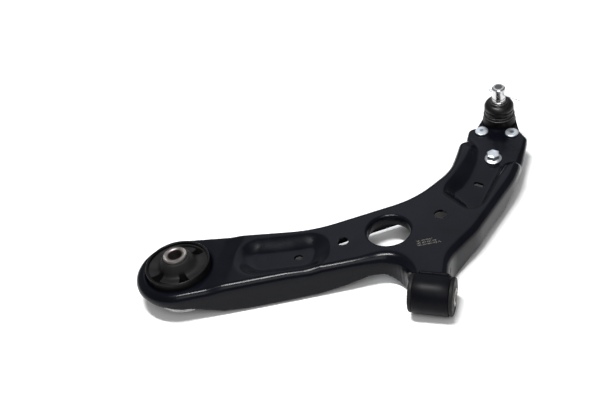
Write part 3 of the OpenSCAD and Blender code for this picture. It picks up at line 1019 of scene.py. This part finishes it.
def reach(angle):
    """Radius of the rubber at an angle from +X: legs along X, a stop block in each void along Y."""
    off = abs((degrees(angle) + 90) % 180 - 90)
    leg = ramp(off, leg_from, leg_to)
    side = 90 - off
    block = ramp(side, stop_from, stop_to)
    block_r = stop_r
    if side > stop_side:
        block_r = min(stop_r, stop_half_w / sin(radians(side)))
    return void_r + (leg_r - void_r) * leg + (block_r - void_r) * block


skirt_z, cone_rise, lip_rise, edge_round = 19.2, 12.6, 0.9, 1.6


def cone(r, r_out):
    """Height of the rubber's top: high at the sleeve, low at the ring, with a rounded edge."""
    z = skirt_z + cone_rise * ramp(r, 23.5, 14.8) + lip_rise * ramp(r, 29, 34)
    left = max(0.0, edge_round - (r_out - r))
    return z - (edge_round - (max(0.0, edge_round ** 2 - left ** 2)) ** 0.5)


shares = [0, 0.03, 0.07, 0.12, 0.18, 0.25, 0.33, 0.42, 0.52, 0.62, 0.72, 0.82, 0.9, 0.94, 0.97,
          0.99, 1]
middle_z, relief_r = 6.5, 18.5


def rubber_half(name, side):
    """Upper (side 1) or lower (side -1) half: up the bore, over the top, down the rim and back."""
    clear_selection()
    bpy.ops.mesh.primitive_circle_add(vertices=rubber_sides, radius=relief_r * MM,
                                      location=(0, 0, middle_z * MM))
    obj = bpy.context.object
    obj.name = name
    bpy.ops.object.transform_apply(location=True)
    bpy.ops.object.mode_set(mode="EDIT")
    bpy.ops.mesh.select_mode(type="EDGE")
    bpy.ops.mesh.select_all(action="SELECT")
    # a pair is (radius, height above the middle), None the rubber's own reach; a number is a share
    rings = [(relief_r, 9), (core_r, 20)] + shares + [(None, 0), (relief_r, 0)]
    for ring in rings:
        def grown(v, ring=ring):
            angle = atan2(v.co.y, v.co.x)
            out = reach(angle)
            if isinstance(ring, tuple):
                r = out if ring[0] is None else ring[0]
                z = middle_z + side * ring[1]
            else:
                r = core_r + (out - core_r) * ring
                z = middle_z + side * (cone(r, out) - middle_z)
            return Vector((r * cos(angle), r * sin(angle), z)) * MM
        extend(grown)
    place(obj, on_rear)
    return close_up(obj, 50)


for name, side, start, end in (("rear_rubber_upper", 1, 20.2, 31.5),
                               ("rear_rubber_lower", -1, -7.2, -18.5)):
    rubber_piece = rubber_half(name, side)
    dress(rubber_piece, rubber)
    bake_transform(rubber_piece, "arm", "rear_core", start=Vector((-bush_gap, 0, start)) * MM,
             end=Vector((-bush_gap, 0, end)) * MM)
    print(f"{name}: {len(rubber_piece.data.polygons)} faces")
liner_in, liner_out = 33, rear_in - 0.02
liner = turned("rear_liner", [
    (liner_out, -6.5), (liner_in + 0.2, -6.5), (liner_in, -5), (liner_in, 18.5)]
    + arc(liner_in + 0.8, 18.5, 0.8, 180, 90, 3) + [(liner_out, 19.3)], on_rear, 144)
made(liner, "arm", rubber, "bush_rubber", "rear_bush_rubber")

# %% [markdown]
# ## Stud of the ball joint
#
# The stud is turned in one piece with its ball. Above the boot it has a shoulder, a narrow waist
# that the pinch bolt passes, and a chamfered end. Its profile is one run of points from the top
# down to the bottom of the ball, turned on the pad's own axis.

# %% Stud
stud_top, stud_r, waist_r = 50.5, 8, 7.6
neck_r, ball_r, ball_neck = 6.6, 13.3, 8.5
ball_angle = degrees(np.arccos(ball_neck / ball_r))
stud_profile = [
    (0, stud_top), (stud_r - 1.6, stud_top), (stud_r, stud_top - 1.6), (stud_r, 45.5),
    (waist_r, 45.1), (waist_r, 35.4), (stud_r + 0.1, 34.6), (stud_r + 0.2, 33),
    (stud_r - 0.5, 32.2), (stud_r - 0.5, 31.6), (stud_r + 0.7, 30.6), (stud_r + 0.7, 29.4),
    (stud_r, 28.7), (stud_r, 28.1), (stud_r + 1.3, 27), (stud_r + 1.3, 24), (neck_r, 18),
    (neck_r, 8)]
stud_profile += arc(0, -ball_drop, ball_r, ball_angle, -90, 24)[:-1] + [(0, -ball_drop - ball_r)]
stud = turned("stud", stud_profile, on_pad, 96, 28)
made(stud, "stud", steel, "stud_steel", "ball_stud")

# %% [markdown]
# ## Dust boot
#
# The boot is a thin rubber bellows, with a bead that the lower wires hold and a lip that grips the
# stud. It is made in two pieces that meet in a fold, because the ball joint tilts two ways: the
# lower piece bends from the arm to the first tilt, the upper one from there to the second.

# %% Boot
fold_z = 19
lower_out = [(14.7, 8.7), (17.5, 8.7), (17.8, 9.0), (17.8, 10.2), (16.6, 11.4), (16.3, 12.4),
             (16.7, 13.4), (17.7, 14.4), (18.0, 15.8), (17.9, 17.2), (17.4, 18.3), (16.9, fold_z)]
lower_in = [(15.7, fold_z), (15.6, 15), (14.8, 12.4)]
boot_low = turned("boot_lower", lower_out + lower_in, on_pad, 128, 60)
upper_out = [
    (16.9, fold_z), (17.5, fold_z + 0.7), (17.9, fold_z + 1.9), (17.8, fold_z + 3.4),
    (17.1, fold_z + 5.0), (15.9, fold_z + 6.6), (14.4, fold_z + 7.9), (12.8, fold_z + 8.8),
    (11.6, fold_z + 9.0), (10.7, fold_z + 8.6), (10.1, fold_z + 7.8), (9.5, fold_z + 7.6)]
upper_in = [(9.5, 25.4), (10.6, 25.6), (12.4, 26.2), (14.6, 24.6), (16.2, 22), (16.4, 20.4),
            (15.7, fold_z)]
boot_high = turned("boot_upper", upper_out + upper_in, on_pad, 128, 60)
for piece, first, second, z0, z1 in ((boot_low, "arm", "boot", 12.4, 18.4),
                                     (boot_high, "boot", "boot_top", 19.6, 24.6)):
    dress(piece, boot_rubber)
    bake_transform(piece, first, second, start=pad_origin + pad_up * z0 * MM,
             end=pad_origin + pad_up * z1 * MM)
    print(f"{piece.name}: {len(piece.data.polygons)} faces")
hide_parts("dust_boot")

# %% [markdown]
# ## Housing
#
# The ball joint's housing is a forging: a round body whose rim holds the boot, and under the pad
# a flange that reaches out to the two rivets and the bolt. The body is turned. The flange's
# outline goes round four circles, so it is filled, given its thickness, and bevelled like a
# forged edge.

# %% Housing
rivet_x, rivet_y, rivet_hole_r = 18.2, -26.5, 5
bolt_x, bolt_y, bolt_hole_r = 1.5, -74, 5.4
housing_r, flange_t, flange_gap = 20.4, 8, 0.02
bore = 15.8
body = turned("housing", [
    (bore + 1.5, -26), (housing_r - 1.4, -26), (housing_r - 0.6, -25.2), (housing_r - 0.6, 0.1),
    (housing_r - 0.1, 0.5), (housing_r - 0.9, 4), (housing_r - 1.6, 7.9), (housing_r - 2.1, 8.4),
    (14.6, 8.4), (12.5, 3), (bore, 2.9), (bore, -22), (bore + 1.5, -22)], on_pad, 128, 30)
circles = [(0, 0, housing_r - 0.1), (-rivet_x, rivet_y, 10), (bolt_x, bolt_y, 11),
           (rivet_x, rivet_y, 10)]


def wrapped(circles):
    """The tight outline round some circles, as a band would lie: the hull of their points."""
    cloud = sorted((x + r * cos(a), y + r * sin(a)) for x, y, r in circles
                   for a in (2 * pi * k / 96 for k in range(96)))

    def left_turn(o, a, b):
        return (a[0] - o[0]) * (b[1] - o[1]) - (a[1] - o[1]) * (b[0] - o[0])

    def half(points):
        chain = []
        for p in points:
            while len(chain) > 1 and left_turn(chain[-2], chain[-1], p) <= 1e-9:
                chain.pop()
            chain.append(p)
        return chain[:-1]
    return half(cloud) + half(cloud[::-1])


flange_plate = cutter_from(wrapped(circles), -SHEET - flange_t, -SHEET - flange_gap,
                           "housing_flange")
holes = [round_cutter(0, 0, bore, 96)]
holes += [round_cutter(x, rivet_y, rivet_hole_r, 40) for x in (-rivet_x, rivet_x)]
holes.append(round_cutter(bolt_x, bolt_y, bolt_hole_r, 40))
boolean(flange_plate, joined(holes))
add_modifier(flange_plate, "BEVEL", width=1.2 * MM, segments=3, limit_method="ANGLE",
             angle_limit=radians(50))
place(flange_plate, on_pad)
clear_selection()
flange_plate.select_set(True)
bpy.ops.object.shade_smooth_by_angle(angle=radians(35))
made(joined([body, flange_plate]), "arm", forging, "forging_coat", "ball_joint_housing")

# %% [markdown]
# ## Rivets
#
# Two rivets and a flanged bolt hold the ball joint to the pad, all plated bright. A rivet's head
# is a flat disc with a rounded edge, and its far end is upset to a smaller one. Both heads and the
# shank between them are one turned profile.

# %% Rivets
rivet_r, rivet_shank_r, head_t = 8, 5, 2.6
grip = SHEET + flange_t


def at_pad(x, y, z=0):
    return on_pad @ Matrix.Translation(Vector((x, y, z)) * MM)


rivets = []
for x in (-rivet_x, rivet_x):
    profile = ([(0, head_t + 0.35), (3, head_t + 0.3), (5.5, head_t + 0.15)]
               + arc(rivet_r - 1.1, head_t - 1.1, 1.1, 90, 0, 6)
               + [(rivet_r, 0.6), (rivet_r - 0.3, 0.02), (rivet_shank_r, 0),
                  (rivet_shank_r, -grip), (7.2, -grip), (7.6, -grip - 1), (6.6, -grip - 3),
                  (3.5, -grip - 3.8), (0, -grip - 3.9)])
    rivets.append(turned("rivet", profile, at_pad(x, rivet_y), 64, 40))
rivets = joined(rivets)
rivets.name = "rivets"
made(rivets, "arm", zinc, "zinc_plate", "ball_joint_rivets")

# %% [markdown]
# ## Bolt and nut
#
# The bolt has a round flange under a six-sided head whose corners are turned off, and the nut
# below has a flange too. Flanges and thread are turned, and six sides in `turned` make a hexagon.

# %% Bolt and nut
bolt_r, thread_in, thread_top, pitch, threads = 5, 4.35, -11.6, 1.5, 11
hex_flat = 14
hex_r = hex_flat / 2 / cos(pi / 6)
bolt_seat, nut_flange_z, nut_hex_z = 0.2, -11.0, -19.2
thread = []
for k in range(threads):
    thread += [(bolt_r, thread_top - pitch * k), (thread_in, thread_top - pitch / 2 - pitch * k)]
flange = turned("bolt_flange", [
    (0, 3), (6.6, 3), (7.6, 2.6), (9.2, 1.7), (9.9, 1.2), (10, 0.6), (9.8, 0.05), (bolt_r, 0),
    (bolt_r, -grip)] + thread + [(4.2, -28), (0, -28)], at_pad(bolt_x, bolt_y, bolt_seat), 72, 30)
head_turn = Matrix.Rotation(radians(12), 4, "Z")
head = turned("bolt_head", [
    (0, 8.7), (4.4, 8.7), (4.9, 9.1), (6.3, 9.1), (hex_r - 0.35, 8.4), (hex_r, 7.8), (hex_r, 2.2),
    (0, 2.2)], at_pad(bolt_x, bolt_y, bolt_seat) @ head_turn, 6, 20)
bolt = joined([flange, head])
bolt.name = "flange_bolt_piece"
made(bolt, "arm", zinc, "zinc_plate", "flange_bolt")

nut_hex = turned("nut_hex", [
    (5.1, 0), (hex_r - 0.2, 0), (hex_r, 0.5), (hex_r, 7.4), (hex_r - 0.9, 8.2), (5.8, 8.2),
    (5.1, 7.6)], at_pad(bolt_x, bolt_y, nut_hex_z), 6, 20)
nut_flange = turned("nut_flange", [
    (5.1, 0), (9.9, 0), (10, -0.5), (9.8, -1.1), (8.2, -2.2), (5.1, -2.2)],
    at_pad(bolt_x, bolt_y, nut_flange_z), 72, 30)
nut = joined([nut_flange, nut_hex])
nut.name = "flange_nut_piece"
made(nut, "arm", zinc, "zinc_plate", "flange_nut")

# %% [markdown]
# ## Marks on the plate
#
# A dot-peening stylus leaves rows of small bare dents that say what batch an arm is from. Here
# three rows of dots run along the front edge. Which dots are left out follows a plain counting
# rule, so the rows have gaps like real ones and spell nothing. Each dot is a tiny disc.

# %% Peened dots
peen_at, peen_turn = Vector((-13, 64)), front_slope
row_len, row_gap, line_gap = 26, 3.6, 1.1
dot_gap, dot_r, dot_t, dot_lift = 0.95, 0.36, 0.05, 0.02
clear_selection()
dots = []
for row in range(3):
    for k in range(int(row_len / dot_gap)):
        for line in (0, 1):
            if (k * 7 + row * 5 + line * 3) % 5 < 2 or k % 6 == 5 or k > 18 + 4 * row:
                continue
            along = (k - row_len / dot_gap / 2) * dot_gap
            across = (row - 1) * -row_gap + line * line_gap
            spot = Matrix.Rotation(peen_turn, 2) @ Vector((along, across)) + peen_at
            bpy.ops.mesh.primitive_cylinder_add(
                vertices=6, radius=dot_r * MM, depth=dot_t * MM,
                location=(spot.x * MM, spot.y * MM, (plate_z + dot_lift) * MM))
            dots.append(bpy.context.object)
print("marks:", len(dots), "dots")
marks = joined(dots)
marks.name = "peened_dots"
place(marks, Matrix.Identity(4))
dress(marks, peen)
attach(marks, "arm")
